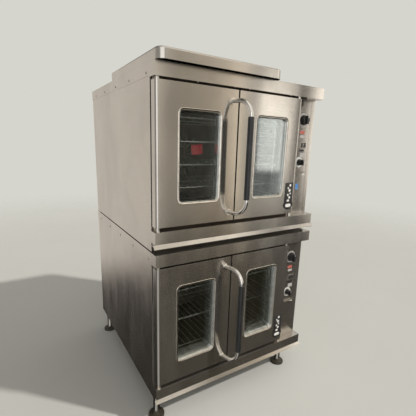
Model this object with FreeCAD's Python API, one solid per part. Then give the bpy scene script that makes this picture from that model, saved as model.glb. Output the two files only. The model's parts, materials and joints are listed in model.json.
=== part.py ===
"""Double-stacked convection oven: two identical decks with French doors, on four levelling feet.

Millimetres. X runs across the front (+X is the control side), +Z is up and the doors face -Y.
Everything is laid out in (x, depth, z), where depth is the distance behind the front edge of the
deck caps, and each shape is moved to the final frame when it is written. A deck is laid out with
z = 0 at the underside of its body and then lifted to its place in the stack.
"""
import math
import os

import FreeCAD
import Part

V = FreeCAD.Vector
X_AXIS = V(1, 0, 0)
Y_AXIS = V(0, 1, 0)
Z_AXIS = V(0, 0, 1)

# ---------------------------------------------------------------- driving dimensions
WIDTH = 965.0                  # over the deck caps
DEPTH = 1044.0                 # over the deck caps
DECK_HEIGHT = 755.0            # body of one deck
STACK_GAP = 27.0               # height of the frame between the decks
FLOOR_GAP = 128.0              # floor to the lower deck's body
SHEET = 1.5                    # casing sheet
FRONT_PLANE = 52.0             # depth of the body's front face behind the caps
BACK_PLANE = 1040.0            # depth of the body's rear face
FASCIA_HEIGHT = 57.0           # front face of a deck cap
SKIRT_HEIGHT = 52.0            # side face of a deck cap
SIDE_PANEL_DROP = {"upper": 22.0, "lower": 0.0}   # how far a side panel hides what is under it

DOOR_BOTTOM = 94.0
DOOR_TOP = 688.0
DOOR_FRONT = 3.0               # depth of the doors' faces
DOOR_BACK = 46.0
DOOR_SKIN = 2.0
DOOR_LEFT_EDGE = -477.5
DOOR_WIDTH = 399.0
DOOR_SEAM = 8.0                # gap between the two doors
DOOR_CORNER = 13.5             # vertical corner radius, and the hinge axis is its centre
HINGE_ZONE = 28.0              # solid strip of the door that takes the hinge pins
DOOR_SLOTS = 5                 # cooling slots in a door's lower edge
DOOR_SLOT_PITCH = 50.0
DOOR_SLOT = (30.0, 6.0)        # width and depth of one
DOOR_SLOT_DEPTH = 22.0         # where a slot starts behind the caps' front

WINDOW_WIDTH = 200.0
WINDOW_HEIGHT = 387.0
WINDOW_RADIUS = 18.0
WINDOW_OFFSET = 7.0            # window centre to the right of the door centre
WINDOW_MIDDLE = 390.5          # height of the window centre
TRIM_WIDTH = 9.0               # face of the window trim around the opening
TRIM_DEPTH = 2.0
TRIM_SLEEVE = 14.0
PANE = 4.0

HANDLE_RADIUS = 9.5
HANDLE_FOOT_X = -108.0
HANDLE_GRIP_X = -80.0
HANDLE_GRIP_DEPTH = -95.0
HANDLE_MIDDLE = 387.0
HANDLE_HALF_SPAN = 252.0
HANDLE_BEND = 66.0
GRIP_RADIUS = 13.5
GRIP_BOTTOM = 207.0
GRIP_TOP = 569.0
GRIP_END_RADIUS = 3.0
HANDLE_PLATE = 3.0             # thickness of the round plate at each end of the handle
HANDLE_PLATE_MARGIN = 6.0
HANDLE_STUB = 20.0             # how far the tube is carried past its end before it is trimmed

PIN_RADIUS = 6.0
RUNNING_FIT = 0.05             # radial clearance of everything that turns or slides in a hole
PIN_ENGAGEMENT = 12.0
COLLAR_RADIUS = 9.0

LEDGE_TOP = 75.0
LEDGE_FACE_BOTTOM = 21.0
LEDGE_FRONT = 2.0
LIP_OUT = 9.0                  # how far the drip lip leans out
LIP_OVERHANG = 7.5             # how far the lip runs past the caps at each end
LIP_BASE = 4.0                 # flat under the lip's front edge
HEM = 8.0                      # how far the ledge's bottom returns behind its face
LEDGE_TAB = (22.0, 30.0)       # depths of the small tab at each end
FLANGE_LEFT = -461.0           # where the left side's front flange meets the front frame

CAVITY_LEFT = -430.0
CAVITY_RIGHT = 281.0
CAVITY_BOTTOM = 130.0
CAVITY_TOP = 645.0
CAVITY_BACK = 664.0
CAVITY_RADIUS = 20.0
GASKET_MARGIN = 16.0           # outer edge of the gasket outside the cavity opening
GASKET_WIDTH = 12.0
GASKET_GAP = 0.4

PANEL_LEFT = 330.0             # control and access panels, beside the right door
PANEL_RIGHT = 447.0
PANEL_SPLIT = 311.0
PANEL_JOINT = 1.0              # half the gap between the two panels
PULL_LIP = (369.0, 434.0)      # ends of the access panel's lip
PULL_LIP_REACH = 12.0
PULL_LIP_THICKNESS = 4.0
THERMOSTAT = (399.0, 591.0)    # x, z of each control
TIMER = (393.0, 366.0)
POWER_SWITCH = (402.0, 459.0)
LIGHT_SWITCH = (425.0, 459.0)
THERMOSTAT_RADIUS = 26.0
TIMER_RADIUS = 17.0
KNOB_SHAFT = 3.0
ROCKER_WIDTH = 15.0
ROCKER_HALF = 11.0
ROCKER_TILT = 8.0              # degrees either side of level
ROCKER_PROUD = 5.0             # how far the paddle's middle stands out of the panel
ROCKER_FOOT = 3.0              # how far it reaches behind the panel
BEZEL_HALF = (10.5, 15.0)      # outside of a rocker's bezel
BEZEL_HOLE_HALF = (8.0, 12.5)
BEZEL_PROUD = 2.0
KNOB_SKIRT = (8.0, 7.0)        # how far a knob's skirt stands out, and its thickness
KNOB_CROWN = (24.0, 17.0)
KNOB_BAR = (34.0, 14.0)
KNOB_CROWN_SHARE = 0.86        # crown radius, bar half width and bar half length over the knob's radius
KNOB_BAR_SHARE = (0.22, 0.84)
KNOB_SHAFT_LENGTH = 14.0

SLOT_PITCH = 52.5              # rack guide spacing
FIRST_SLOT = 188.0
SLOTS = 8
RACK_SLOTS = {"upper": (1, 3, 5, 7), "lower": (0, 3, 6)}
RACK_FRONT = 108.0
RACK_BACK = 560.0
RACK_ROD = 3.5                 # side rods
RACK_CROSS_ROD = 3.0
RACK_SIDE_GAP = 18.0           # side rods from the oven's walls
RACK_CLEARANCE = 0.3           # over the rails
RACK_ROD_END = 6.0             # side rods past the outer cross rods
RACK_WIRE_END = 1.5
RACK_WIRE = 2.2
RACK_WIRE_RISE = 3.4           # how far the wires' centres lie above the rods'
RACK_WIRES = 19
GUIDE_ROD = 3.0
GUIDE_PEG = 2.5
GUIDE_RAIL_GAP = 15.0          # rails from the oven's wall
GUIDE_UPRIGHT_GAP = 10.0
GUIDE_UPRIGHTS = (130.0, 330.0, 530.0)
GUIDE_MARGIN = 25.0            # uprights past the end slots
GUIDE_PEG_INSET = 10.0
GUIDE_RAIL_END = 8.0           # rails past the racks

FAN_HEIGHT = 387.0
FAN_RADIUS = 165.0
FAN_BLADES = 24
FAN_FRONT = 592.0
FAN_BACK = 650.0
SHAFT_RADIUS = 8.0
BAFFLE_DEPTH = 575.0
BAFFLE_THICKNESS = 2.0
BAFFLE_MARGIN = (38.0, 18.0)   # baffle edge from the oven's sides, and from its floor and top
BAFFLE_POST = 5.0
BAFFLE_POST_INSET = 17.0
INLET_SLOTS = 16
INLET_SLOT = (40.0, 140.0)     # inner and outer radius of the inlet slots
INLET_SLOT_HALF = 6.0
FAN_SHEET = 3.0
FAN_HUB = (24.0, 36.0)         # radius and length
FAN_RING_WIDTH = 28.0
BLADE_DEPTH = 31.0
BLADE_SHEET = 2.0
BLADE_ANGLE = 25.0
MOTOR = (78.0, 170.0)          # radius and length
MOTOR_FRONT = 722.0
MOTOR_FLANGE = (95.0, 706.0, 726.0)   # half side, front and back
MOTOR_EDGE = 12.0
ELEMENT_RADIUS = 195.0
ELEMENT_TUBE = 4.5
ELEMENT_DEPTHS = (602.0, 632.0)
ELEMENT_LEADS = (-100.0, -80.0)       # degrees round the ring
LAMP = (58.0, 590.0)           # x, z of the lamp on the baffle
LAMP_RADIUS = 26.0
LAMP_DOME = 22.0
WOOL = (28.0, 41.0)            # insulation past the oven box: beside it, and behind it
WOOL_HEIGHTS = (98.0, 678.0)
BOX_CLEARANCE = 2.0            # between the oven box and the insulation
SHAFT_CLEARANCE = 6.0

LEG_X = (-455.0, 378.0)
LEG_DEPTH = (70.0, 960.0)
LEG_RADIUS = 16.0
FOOT_RADIUS = 40.0
FOOT_THICKNESS = 12.0
FOOT_STUD = 6.0
FOOT_STUD_TOP = 86.0
LEG_BOTTOM = 24.3
LEG_PLATE = (45.0, 16.0, 40.0, 5.0)   # half width, reach forward, reach back, thickness
LEG_PLATE_LEFT = -478.0        # the left plates stop here
FOOT_EDGE = 5.0
NUT_RADIUS = 14.0
BAR_ENDS = (-470.0, 470.0)     # stacking frame bars
BAR_DEPTHS = (60.0, 990.0)
BAR_WIDTH = 40.0

COVER_LEFT = -478.0            # loose cover that lies on the upper deck
COVER_RIGHT = 150.0
COVER_FRONT = -30.0
COVER_BACK = 622.0
COVER_HEIGHT = 44.0
COVER_CORNER = 35.0
COVER_RIM = 8.0

SCREW_DEPTHS = (84.0, 299.0, 514.0, 729.0, 944.0)
SCREW_DROP = 37.5              # below the top of the cap
SCREW_SHANK = 2.0
SCREW_LENGTH = 9.0
SCREW_HEAD_SPHERE = 7.0
SCREW_HEAD_HEIGHT = 2.5
VENT_SLOTS = 7                 # cooling slots behind the motor
VENT_PITCH = 30.0
VENT_HALF = (110.0, 4.0)
CABLE_ENTRY = (380.0, 60.0)    # x, z of the hole in each back panel
CABLE_ENTRY_RADIUS = 14.3

# ---------------------------------------------------------------- derived
HALF = WIDTH / 2
LOWER_BASE = FLOOR_GAP
UPPER_BASE = FLOOR_GAP + DECK_HEIGHT + STACK_GAP
DECK_BASE = {"upper": UPPER_BASE, "lower": LOWER_BASE}
DECKS = ("upper", "lower")
DOOR_SPANS = {
    "left": (DOOR_LEFT_EDGE, DOOR_LEFT_EDGE + DOOR_WIDTH),
    "right": (DOOR_LEFT_EDGE + DOOR_WIDTH + DOOR_SEAM, DOOR_LEFT_EDGE + 2 * DOOR_WIDTH + DOOR_SEAM),
}
HINGE_X = {"left": DOOR_SPANS["left"][0] + DOOR_CORNER, "right": DOOR_SPANS["right"][1] - DOOR_CORNER}
HINGE_DEPTH = DOOR_FRONT + DOOR_CORNER
CAVITY_X = (CAVITY_LEFT + CAVITY_RIGHT) / 2
PANEL_FACE = FRONT_PLANE - SHEET
FRONTMOST = HANDLE_GRIP_DEPTH - GRIP_RADIUS
Y_SHIFT = -(FRONTMOST + DEPTH) / 2


# ---------------------------------------------------------------- helpers
def block(x0, x1, d0, d1, z0, z1):
    """Box between two corners."""
    return Part.makeBox(x1 - x0, d1 - d0, z1 - z0, V(x0, d0, z0))


def rod(start, direction, radius, length):
    """Round bar from a point along a direction."""
    return Part.makeCylinder(radius, length, V(*start), direction)


def rounded_block(x0, x1, d0, d1, z0, z1, radius, axis=Y_AXIS):
    """Box whose four edges along one axis are rounded."""
    box = block(x0, x1, d0, d1, z0, z1)
    return box.makeFillet(radius, edges_along(box, axis))


def edges_along(shape, axis):
    """Straight edges that run along an axis."""
    found = []
    for edge in shape.Edges:
        if abs(edge.tangentAt(edge.FirstParameter).dot(axis)) > 0.999:
            found.append(edge)
    return found


def fuse(pieces):
    """One solid from pieces that overlap."""
    return pieces[0].multiFuse(pieces[1:]).removeSplitter()


def mirrored(shape, x):
    """Copy of a shape mirrored in the plane at x."""
    return shape.mirror(V(x, 0, 0), X_AXIS)


def both_decks(make):
    """The same piece on both decks, as two solids of one group."""
    return Part.makeCompound([on_deck(make(deck), deck) for deck in DECKS])


def on_deck(shape, deck):
    """A shape laid out on a deck, lifted to that deck's place in the stack."""
    lifted = shape.copy()
    lifted.translate(V(0, 0, DECK_BASE[deck]))
    return lifted


def window_block(side, d0, d1, grow):
    """Rounded block the size of a door's window opening, grown on every side."""
    centre = sum(DOOR_SPANS[side]) / 2 + WINDOW_OFFSET
    half_width = WINDOW_WIDTH / 2 + grow
    half_height = WINDOW_HEIGHT / 2 + grow
    return rounded_block(centre - half_width, centre + half_width, d0, d1,
                         WINDOW_MIDDLE - half_height, WINDOW_MIDDLE + half_height, WINDOW_RADIUS + grow)


# ---------------------------------------------------------------- doors
def door_shell(side):
    """Hollow sheet-metal door with a window opening, hinge bores and cooling slots in its edge."""
    x0, x1 = DOOR_SPANS[side]
    slab = block(x0, x1, DOOR_FRONT, DOOR_BACK, DOOR_BOTTOM, DOOR_TOP)
    hinge_edge = x0 if side == "left" else x1
    corner = [e for e in edges_along(slab, Z_AXIS)
              if abs(e.Vertexes[0].X - hinge_edge) < 0.1 and abs(e.Vertexes[0].Y - DOOR_FRONT) < 0.1]
    slab = slab.makeFillet(DOOR_CORNER, corner)
    free_edge = x1 - DOOR_SKIN if side == "left" else x0 + DOOR_SKIN
    zone_edge = x0 + HINGE_ZONE if side == "left" else x1 - HINGE_ZONE
    hollow = block(min(free_edge, zone_edge), max(free_edge, zone_edge), DOOR_FRONT + DOOR_SKIN,
                   DOOR_BACK - DOOR_SKIN, DOOR_BOTTOM + DOOR_SKIN, DOOR_TOP - DOOR_SKIN)
    hollow = hollow.cut(window_block(side, DOOR_FRONT, DOOR_BACK, DOOR_SKIN))
    shell = slab.cut(hollow).cut(window_block(side, DOOR_FRONT - 1, DOOR_BACK + 1, 0))
    for z in (DOOR_BOTTOM - 1, DOOR_TOP - PIN_ENGAGEMENT):
        bore = rod((HINGE_X[side], HINGE_DEPTH, z), Z_AXIS, PIN_RADIUS + RUNNING_FIT, PIN_ENGAGEMENT + 1)
        shell = shell.cut(bore)
    width, depth = DOOR_SLOT
    for step in range(DOOR_SLOTS):
        slot_x = (x0 + x1) / 2 + DOOR_SLOT_PITCH * (step - (DOOR_SLOTS - 1) / 2)
        shell = shell.cut(block(slot_x - width / 2, slot_x + width / 2,
                                DOOR_SLOT_DEPTH, DOOR_SLOT_DEPTH + depth,
                                DOOR_BOTTOM - 1, DOOR_BOTTOM + DOOR_SKIN + 1))
    return shell


def door_trim(side):
    """Bright frame on the door's face with a sleeve that lines the window opening."""
    face = window_block(side, DOOR_FRONT - TRIM_DEPTH, DOOR_FRONT, TRIM_WIDTH)
    sleeve = window_block(side, DOOR_FRONT - TRIM_DEPTH, DOOR_FRONT + TRIM_SLEEVE, -0.5)
    hole = window_block(side, DOOR_FRONT - TRIM_DEPTH - 1, DOOR_FRONT + TRIM_SLEEVE + 1, -2.5)
    return face.fuse(sleeve).cut(hole).removeSplitter()


def door_glass(side):
    """Outer and inner pane of a door's window."""
    outer = DOOR_FRONT + TRIM_SLEEVE
    inner = DOOR_BACK - DOOR_SKIN - PANE
    return Part.makeCompound([window_block(side, d, d + PANE, -0.5) for d in (outer, inner)])


def handle_path():
    """Centre line of the D handle: out from the door, down in front of it, and back."""
    foot = V(HANDLE_FOOT_X, DOOR_FRONT, 0)
    grip = V(HANDLE_GRIP_X, HANDLE_GRIP_DEPTH, 0)
    out = (grip - foot).normalize()
    top = V(0, 0, HANDLE_MIDDLE + HANDLE_HALF_SPAN)
    bottom = V(0, 0, HANDLE_MIDDLE - HANDLE_HALF_SPAN)
    knee = out * HANDLE_BEND
    drop = V(0, 0, HANDLE_BEND)
    diagonal = HANDLE_BEND * (1 - math.sqrt(0.5))
    arc_in = out * diagonal
    arc_down = V(0, 0, diagonal)
    edges = [
        Part.makeLine(foot + top, grip - knee + top),
        Part.Arc(grip - knee + top, grip - arc_in + top - arc_down, grip + top - drop).toShape(),
        Part.makeLine(grip + top - drop, grip + bottom + drop),
        Part.Arc(grip + bottom + drop, grip - arc_in + bottom + arc_down, grip - knee + bottom).toShape(),
        Part.makeLine(grip - knee + bottom, foot + bottom),
    ]
    return Part.Wire(edges)


def handle_tube():
    """Chromed tube handle with a round foot plate at each end, trimmed flush to the door's face."""
    path = handle_path()
    start = path.OrderedVertexes[0].Point
    end = path.OrderedVertexes[-1].Point
    out = V(HANDLE_GRIP_X - HANDLE_FOOT_X, HANDLE_GRIP_DEPTH - DOOR_FRONT, 0).normalize()
    section = Part.Wire([Part.makeCircle(HANDLE_RADIUS, start, out)])
    tube = path.makePipeShell([section], True, True)
    stubs = [rod(tuple(point - out * HANDLE_STUB), out, HANDLE_RADIUS, HANDLE_STUB + 4)
             for point in (start, end)]
    plate_radius = HANDLE_RADIUS + HANDLE_PLATE_MARGIN
    plates = [rod((point.x, DOOR_FRONT - HANDLE_PLATE, point.z), Y_AXIS, plate_radius, HANDLE_PLATE)
              for point in (start, end)]
    keep = block(-HALF, HALF, 2 * FRONTMOST, DOOR_FRONT, 0, DECK_HEIGHT)
    return fuse([tube] + stubs + plates).common(keep)


def handle_grip():
    """Black sleeve over the straight part of the handle."""
    base = (HANDLE_GRIP_X, HANDLE_GRIP_DEPTH, GRIP_BOTTOM)
    sleeve = rod(base, Z_AXIS, GRIP_RADIUS, GRIP_TOP - GRIP_BOTTOM)
    ends = [e for e in sleeve.Edges if e.Curve.TypeId == "Part::GeomCircle"]
    sleeve = sleeve.makeFillet(GRIP_END_RADIUS, ends)
    return sleeve.cut(rod(base, Z_AXIS, HANDLE_RADIUS + RUNNING_FIT, GRIP_TOP - GRIP_BOTTOM))


def hinge_pins(_deck):
    """Top and bottom pin of both doors, each with a collar in the gap beside the door."""
    pins = []
    for x in HINGE_X.values():
        top = DECK_HEIGHT - FASCIA_HEIGHT
        upper = fuse([rod((x, HINGE_DEPTH, DOOR_TOP - PIN_ENGAGEMENT + 1), Z_AXIS, PIN_RADIUS,
                          top - DOOR_TOP + PIN_ENGAGEMENT - 1),
                      rod((x, HINGE_DEPTH, DOOR_TOP + 1), Z_AXIS, COLLAR_RADIUS, top - DOOR_TOP - 1)])
        lower = fuse([rod((x, HINGE_DEPTH, LEDGE_TOP), Z_AXIS, PIN_RADIUS,
                          DOOR_BOTTOM + PIN_ENGAGEMENT - 1 - LEDGE_TOP),
                      rod((x, HINGE_DEPTH, LEDGE_TOP), Z_AXIS, COLLAR_RADIUS, DOOR_BOTTOM - LEDGE_TOP - 0.5)])
        pins += [upper, lower]
    return Part.makeCompound(pins)


# ---------------------------------------------------------------- casing
def deck_cap(_deck):
    """Folded top sheet with a front fascia, a return flange under it and skirts on the other sides."""
    top = block(-HALF, HALF, 0, DEPTH, DECK_HEIGHT - SHEET, DECK_HEIGHT)
    fascia = block(-HALF, HALF, 0, SHEET, DECK_HEIGHT - FASCIA_HEIGHT, DECK_HEIGHT)
    flange = block(-HALF, HALF, 0, FRONT_PLANE - 2, DECK_HEIGHT - FASCIA_HEIGHT,
                   DECK_HEIGHT - FASCIA_HEIGHT + SHEET)
    cheek = block(-HALF, -HALF + SHEET, 0, FRONT_PLANE, DECK_HEIGHT - FASCIA_HEIGHT, DECK_HEIGHT)
    skirt = block(-HALF, -HALF + SHEET, 0, DEPTH, DECK_HEIGHT - SKIRT_HEIGHT, DECK_HEIGHT)
    rear = block(-HALF, HALF, DEPTH - SHEET, DEPTH, DECK_HEIGHT - SKIRT_HEIGHT, DECK_HEIGHT)
    sides = [cheek, skirt, mirrored(cheek, 0), mirrored(skirt, 0)]
    cap = fuse([top, fascia, flange, rear] + sides)
    return cap.cut(screw_holes())


def side_panel(deck, side):
    """Flat casing side with a narrow flange turned in at the front."""
    bottom = -SIDE_PANEL_DROP[deck]
    outer = -HALF + SHEET
    flange_end = FLANGE_LEFT if side == "left" else -PANEL_RIGHT
    sheet = block(outer, outer + SHEET, FRONT_PLANE, BACK_PLANE, bottom, DECK_HEIGHT - SHEET)
    flange = block(outer, flange_end, FRONT_PLANE, FRONT_PLANE + SHEET, 0, DECK_HEIGHT - FASCIA_HEIGHT)
    panel = sheet.fuse(flange).cut(screw_holes()).removeSplitter()
    return panel if side == "left" else mirrored(panel, 0)


def screw_holes():
    """Holes for the screws that hold a cap's skirts to the side panels."""
    z = DECK_HEIGHT - SCREW_DROP
    holes = [rod((-HALF - 5, d, z), X_AXIS, SCREW_SHANK + RUNNING_FIT, WIDTH + 10) for d in SCREW_DEPTHS]
    return Part.makeCompound(holes)


def casing_screws(_deck):
    """Pan-head screws along both skirts of a cap."""
    z = DECK_HEIGHT - SCREW_DROP
    screws = []
    for depth in SCREW_DEPTHS:
        size = SCREW_HEAD_SPHERE
        head = Part.makeSphere(size, V(-HALF - SCREW_HEAD_HEIGHT + size, depth, z), X_AXIS)
        head = head.common(block(-HALF - size, -HALF, depth - size, depth + size, z - size, z + size))
        screw = fuse([head, rod((-HALF - 1, depth, z), X_AXIS, SCREW_SHANK, SCREW_LENGTH)])
        screws += [screw, mirrored(screw, 0)]
    return Part.makeCompound(screws)


def back_panel(_deck):
    """Rear sheet with motor cooling slots and the cable entry."""
    sheet = block(-HALF + 2 * SHEET, HALF - 2 * SHEET, BACK_PLANE - SHEET, BACK_PLANE, 0, DECK_HEIGHT - SHEET)
    cuts = [rod((CABLE_ENTRY[0], BACK_PLANE - 5, CABLE_ENTRY[1]), Y_AXIS, CABLE_ENTRY_RADIUS, 10)]
    half_width, half_height = VENT_HALF
    for row in range(VENT_SLOTS):
        z = FAN_HEIGHT + VENT_PITCH * (row - (VENT_SLOTS - 1) / 2)
        cuts.append(block(CAVITY_X - half_width, CAVITY_X + half_width, BACK_PLANE - 5, BACK_PLANE + 5,
                          z - half_height, z + half_height))
    return sheet.cut(Part.makeCompound(cuts))


def base_pan(_deck):
    """Bottom sheet of a deck."""
    return block(-HALF + 2 * SHEET, HALF - 2 * SHEET, FRONT_PLANE + SHEET, BACK_PLANE - SHEET, 0, SHEET)


def front_ledge(_deck):
    """Folded ledge under the doors: flat top, upright face and a drip lip that leans out."""
    outline = [
        (FRONT_PLANE, LEDGE_TOP),
        (LEDGE_FRONT, LEDGE_TOP),
        (LEDGE_FRONT, LEDGE_FACE_BOTTOM),
        (LEDGE_FRONT - LIP_OUT, 2 * SHEET),
        (LEDGE_FRONT - LIP_OUT + LIP_BASE, 0),
        (LEDGE_FRONT + HEM, 0),
        (LEDGE_FRONT + HEM, SHEET),
        (LEDGE_FRONT - LIP_OUT + LIP_BASE + 1, SHEET),
        (LEDGE_FRONT - LIP_OUT + LIP_BASE / 2, 2 * SHEET),
        (LEDGE_FRONT + SHEET, LEDGE_FACE_BOTTOM),
        (LEDGE_FRONT + SHEET, LEDGE_TOP - SHEET),
        (FRONT_PLANE, LEDGE_TOP - SHEET),
    ]
    points = [V(-HALF, d, z) for d, z in outline + outline[:1]]
    folded = Part.Face(Part.makePolygon(points)).extrude(V(WIDTH, 0, 0))
    cheek = block(-HALF, -HALF + SHEET, LEDGE_FRONT, FRONT_PLANE, LEDGE_FACE_BOTTOM, LEDGE_TOP)
    tab = block(-HALF, -HALF + SHEET, *LEDGE_TAB, 2, LEDGE_FACE_BOTTOM + 1)
    lip = [V(-HALF - LIP_OVERHANG, d, z) for d, z in outline[2:5] + outline[8:10] + outline[2:3]]
    lip_end = Part.Face(Part.makePolygon(lip)).extrude(V(LIP_OVERHANG + 1, 0, 0))
    ends = [cheek, tab, lip_end]
    return fuse([folded] + ends + [mirrored(end, 0) for end in ends])


def front_frame(_deck):
    """Flat face of the body around the oven mouth."""
    plate = block(FLANGE_LEFT, PANEL_LEFT, FRONT_PLANE, FRONT_PLANE + 2,
                  LEDGE_FACE_BOTTOM, DECK_HEIGHT - FASCIA_HEIGHT)
    mouth = rounded_block(CAVITY_LEFT, CAVITY_RIGHT, 0, 100, CAVITY_BOTTOM, CAVITY_TOP, CAVITY_RADIUS)
    return plate.cut(mouth)


def door_gasket(_deck):
    """Rope seal around the oven mouth."""
    def ring(margin, d0, d1):
        return rounded_block(CAVITY_LEFT - margin, CAVITY_RIGHT + margin, d0, d1,
                             CAVITY_BOTTOM - margin, CAVITY_TOP + margin, CAVITY_RADIUS + margin)
    outer = ring(GASKET_MARGIN, DOOR_BACK + GASKET_GAP, FRONT_PLANE)
    return outer.cut(ring(GASKET_MARGIN - GASKET_WIDTH, 0, 100))


def control_panel(_deck):
    """Panel beside the right door with knob holes and two bezelled rocker openings."""
    sheet = block(PANEL_LEFT, PANEL_RIGHT, PANEL_FACE, FRONT_PLANE,
                  PANEL_SPLIT + PANEL_JOINT, DECK_HEIGHT - FASCIA_HEIGHT)
    pieces = [sheet]
    cuts = [rod((x, 0, z), Y_AXIS, KNOB_SHAFT + RUNNING_FIT, 100) for x, z in (THERMOSTAT, TIMER)]
    for x, z in (POWER_SWITCH, LIGHT_SWITCH):
        half_x, half_z = BEZEL_HALF
        pieces.append(block(x - half_x, x + half_x, PANEL_FACE - BEZEL_PROUD, PANEL_FACE,
                            z - half_z, z + half_z))
        half_x, half_z = BEZEL_HOLE_HALF
        cuts.append(block(x - half_x, x + half_x, 0, 100, z - half_z, z + half_z))
    return fuse(pieces).cut(Part.makeCompound(cuts))


def access_panel(_deck):
    """Cover under the control panel with a pull lip along its top."""
    top = PANEL_SPLIT - PANEL_JOINT
    sheet = block(PANEL_LEFT, PANEL_RIGHT, PANEL_FACE, FRONT_PLANE, LEDGE_TOP, top)
    lip = block(*PULL_LIP, PANEL_FACE - PULL_LIP_REACH, PANEL_FACE, top - PULL_LIP_THICKNESS, top)
    return fuse([sheet, lip])


def stacking_frame():
    """Four bars between the lower cap and the upper deck."""
    z0 = LOWER_BASE + DECK_HEIGHT
    z1 = z0 + STACK_GAP
    left, right = BAR_ENDS
    front, rear = BAR_DEPTHS
    bars = [block(left, right, d, d + BAR_WIDTH, z0, z1) for d in BAR_DEPTHS]
    bars += [block(x, x + BAR_WIDTH, front + BAR_WIDTH, rear, z0, z1) for x in (left, right - BAR_WIDTH)]
    return Part.makeCompound(bars)


def top_cover():
    """Shallow tray with rounded corners that lies upside down on the upper deck."""
    z0 = UPPER_BASE + DECK_HEIGHT
    outer = rounded_block(COVER_LEFT, COVER_RIGHT, COVER_FRONT, COVER_BACK, z0, z0 + COVER_HEIGHT,
                          COVER_CORNER, Z_AXIS)
    rim = [e for e in outer.Edges if min(v.Z for v in e.Vertexes) > z0 + COVER_HEIGHT - 0.1]
    outer = outer.makeFillet(COVER_RIM, rim)
    inner = rounded_block(COVER_LEFT + SHEET, COVER_RIGHT - SHEET, COVER_FRONT + SHEET, COVER_BACK - SHEET,
                          z0 - 1, z0 + COVER_HEIGHT - SHEET, COVER_CORNER - SHEET, Z_AXIS)
    rim = [e for e in inner.Edges if min(v.Z for v in e.Vertexes) > z0 + COVER_HEIGHT - SHEET - 0.1]
    inner = inner.makeFillet(COVER_RIM - SHEET, rim)
    return outer.cut(inner)


# ---------------------------------------------------------------- legs and feet
def leg_stems():
    """Four round legs, each with a mounting plate and a threaded hole for its foot."""
    legs = []
    half, forward, back, thickness = LEG_PLATE
    for x in LEG_X:
        for depth in LEG_DEPTH:
            stem = rod((x, depth, LEG_BOTTOM), Z_AXIS, LEG_RADIUS, FLOOR_GAP - LEG_BOTTOM)
            plate = block(max(x - half, LEG_PLATE_LEFT), x + half, depth - forward, depth + back,
                          FLOOR_GAP - thickness, FLOOR_GAP)
            bore = rod((x, depth, 0), Z_AXIS, FOOT_STUD + RUNNING_FIT, FOOT_STUD_TOP + 4)
            legs.append(fuse([stem, plate]).cut(bore))
    return Part.makeCompound(legs)


def levelling_foot(x, depth):
    """Round pad with a lock nut and a stud that screws into the leg."""
    pad = rod((x, depth, 0), Z_AXIS, FOOT_RADIUS, FOOT_THICKNESS)
    rim = [e for e in pad.Edges if e.Curve.TypeId == "Part::GeomCircle" and e.Vertexes[0].Z > 1]
    pad = pad.makeFillet(FOOT_EDGE, rim)
    nut = rod((x, depth, FOOT_THICKNESS - 1), Z_AXIS, NUT_RADIUS, LEG_BOTTOM - FOOT_THICKNESS + 0.7)
    stud = rod((x, depth, FOOT_THICKNESS - 1), Z_AXIS, FOOT_STUD, FOOT_STUD_TOP - FOOT_THICKNESS + 1)
    return fuse([pad, nut, stud])


# ---------------------------------------------------------------- controls
def knob(centre, radius):
    """Round knob with a raised bar handle and its shaft."""
    x, z = centre
    reach, thickness = KNOB_SKIRT
    skirt = rod((x, PANEL_FACE - reach, z), Y_AXIS, radius, thickness)
    reach, thickness = KNOB_CROWN
    crown = rod((x, PANEL_FACE - reach, z), Y_AXIS, radius * KNOB_CROWN_SHARE, thickness)
    reach, thickness = KNOB_BAR
    half_x, half_z = (radius * share for share in KNOB_BAR_SHARE)
    bar = block(x - half_x, x + half_x, PANEL_FACE - reach, PANEL_FACE - reach + thickness,
                z - half_z, z + half_z)
    shaft = rod((x, PANEL_FACE - 2, z), Y_AXIS, KNOB_SHAFT, KNOB_SHAFT_LENGTH)
    return fuse([skirt, crown, bar, shaft])


def rocker(centre):
    """Rocker switch paddle, resting with its upper half pressed."""
    x, z = centre
    slope = math.tan(math.radians(ROCKER_TILT))
    end = -ROCKER_PROUD + ROCKER_HALF * slope
    foot = ROCKER_HALF - ROCKER_FOOT
    outline = [(-ROCKER_PROUD, 0), (end, ROCKER_HALF), (ROCKER_FOOT, foot), (ROCKER_FOOT, -foot),
               (end, -ROCKER_HALF), (-ROCKER_PROUD, 0)]
    pivot = V(x, FRONT_PLANE, z)
    points = [V(x - ROCKER_WIDTH / 2, FRONT_PLANE + d, z + h) for d, h in outline]
    paddle = Part.Face(Part.makePolygon(points)).extrude(V(ROCKER_WIDTH, 0, 0))
    paddle.rotate(pivot, X_AXIS, -ROCKER_TILT)
    return paddle


# ---------------------------------------------------------------- inside the oven
def cavity_liner():
    """Enamelled oven box, open at the front, with the fan shaft's hole in its rear wall."""
    outer = rounded_block(CAVITY_LEFT - SHEET, CAVITY_RIGHT + SHEET, FRONT_PLANE + 2, CAVITY_BACK + SHEET,
                          CAVITY_BOTTOM - SHEET, CAVITY_TOP + SHEET, CAVITY_RADIUS + SHEET)
    inner = rounded_block(CAVITY_LEFT, CAVITY_RIGHT, 0, CAVITY_BACK, CAVITY_BOTTOM, CAVITY_TOP, CAVITY_RADIUS)
    shaft_hole = rod((CAVITY_X, CAVITY_BACK - 5, FAN_HEIGHT), Y_AXIS, SHAFT_RADIUS + SHAFT_CLEARANCE, 20)
    return outer.cut(inner).cut(shaft_hole)


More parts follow.
